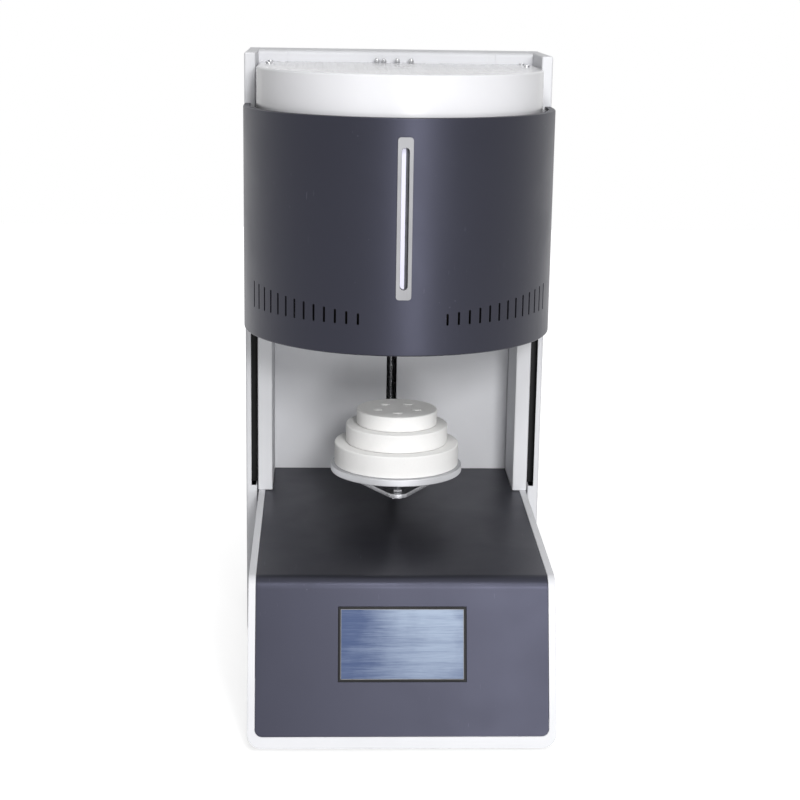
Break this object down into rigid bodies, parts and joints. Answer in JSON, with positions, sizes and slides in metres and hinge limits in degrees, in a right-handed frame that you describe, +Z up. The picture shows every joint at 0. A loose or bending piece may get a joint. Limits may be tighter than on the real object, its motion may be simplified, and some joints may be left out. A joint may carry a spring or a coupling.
{
  "type": "bottom-loading sintering furnace",
  "caption": "Benchtop sintering furnace: a half-round heated head on a column, over a sloping touch-screen desk, with a lift that raises a stepped plug into the chamber.",
  "frame": {"origin": "middle of the footprint, on the surface that the rubber feet stand on", "axes": "+Z up, -Y out of the front with the touch screen, +X to the right for someone facing the front"},
  "size_m": [0.426, 0.6, 0.848],
  "materials": {
    "white_coat": "satin",
    "charcoal_coat": "satin",
    "gloss_white": "gloss",
    "rubber": "matte",
    "black_plastic": "satin",
    "screen_glass": "gloss",
    "bright_steel": "satin",
    "satin_aluminium": "satin",
    "sheet_steel": "satin",
    "ceramic_fibre": "matte",
    "silicide": "satin",
    "copper_winding": "satin",
    "circuit_board": "satin",
    "smoked_plastic": "gloss"
  },
  "bodies": {
    "housing": {"base_shell": "white_coat", "front_panel": "charcoal_coat", "screen_gasket": "black_plastic", "touch_screen": "screen_glass", "display_module": "black_plastic", "foot_front_left": "rubber", "foot_front_right": "rubber", "foot_rear_left": "rubber", "foot_rear_right": "rubber", "side_cover_left": "white_coat", "side_cover_right": "white_coat", "slot_liner_left": "black_plastic", "slot_liner_right": "black_plastic", "post_left": "white_coat", "post_right": "white_coat", "back_panel": "white_coat", "upper_back_panel": "white_coat", "rear_cover": "white_coat", "head_cover": "charcoal_coat", "cover_trim": "satin_aluminium", "light_strip": "smoked_plastic", "head_cap": "gloss_white", "head_bottom_plate": "sheet_steel", "head_frame": "sheet_steel", "chamber_casing": "bright_steel", "insulation_ring": "ceramic_fibre", "insulation_lid": "ceramic_fibre", "heating_element_1": "silicide", "heating_element_2": "silicide", "heating_element_3": "silicide", "heating_element_4": "silicide", "thermocouple": "bright_steel", "lower_bearing_block": "satin_aluminium", "upper_bearing_block": "satin_aluminium", "guide_rod_left": "bright_steel", "guide_rod_right": "bright_steel", "lift_motor": "black_plastic", "lift_plate": "satin_aluminium", "transformer_core": "sheet_steel", "transformer_coil": "copper_winding", "power_controller": "satin_aluminium", "control_board": "circuit_board", "fan_housing": "black_plastic", "power_inlet": "black_plastic", "switch_frame": "black_plastic"},
    "stage": {"carriage": "satin_aluminium", "lift_arm": "bright_steel", "support_plate": "bright_steel", "level_stud_front": "bright_steel", "level_stud_left": "bright_steel", "level_stud_right": "bright_steel", "stage_disc": "bright_steel", "plug_lower": "ceramic_fibre", "plug_middle": "ceramic_fibre", "plug_upper": "ceramic_fibre"},
    "screw": {"lead_screw": "bright_steel", "motor_coupling": "satin_aluminium"},
    "fan": {"fan_rotor": "black_plastic"},
    "rocker": {"switch_rocker": "black_plastic"}
  },
  "joints": [
    {"name": "stage_lift", "type": "slide", "parent": "housing", "child": "stage", "axis": [0, 0, 1], "range_m": [0, 0.188]},
    {"name": "screw_spin", "type": "hinge", "parent": "housing", "child": "screw", "pos_m": [0, 0.256, 0.2], "axis": [0, 0, -1], "range_deg": [0, 6770]},
    {"name": "fan_spin", "type": "hinge", "parent": "housing", "child": "fan", "pos_m": [-0.11, 0.28, 0.108], "axis": [0, 1, 0], "continuous": true},
    {"name": "switch_rock", "type": "hinge", "parent": "housing", "child": "rocker", "pos_m": [0.115, 0.29, 0.118], "axis": [1, 0, 0], "range_deg": [-14, 0]}
  ],
  "couplings": [
    {"joint": "screw_spin", "follows": "stage_lift", "rad_per_m": 628.32}
  ]
}
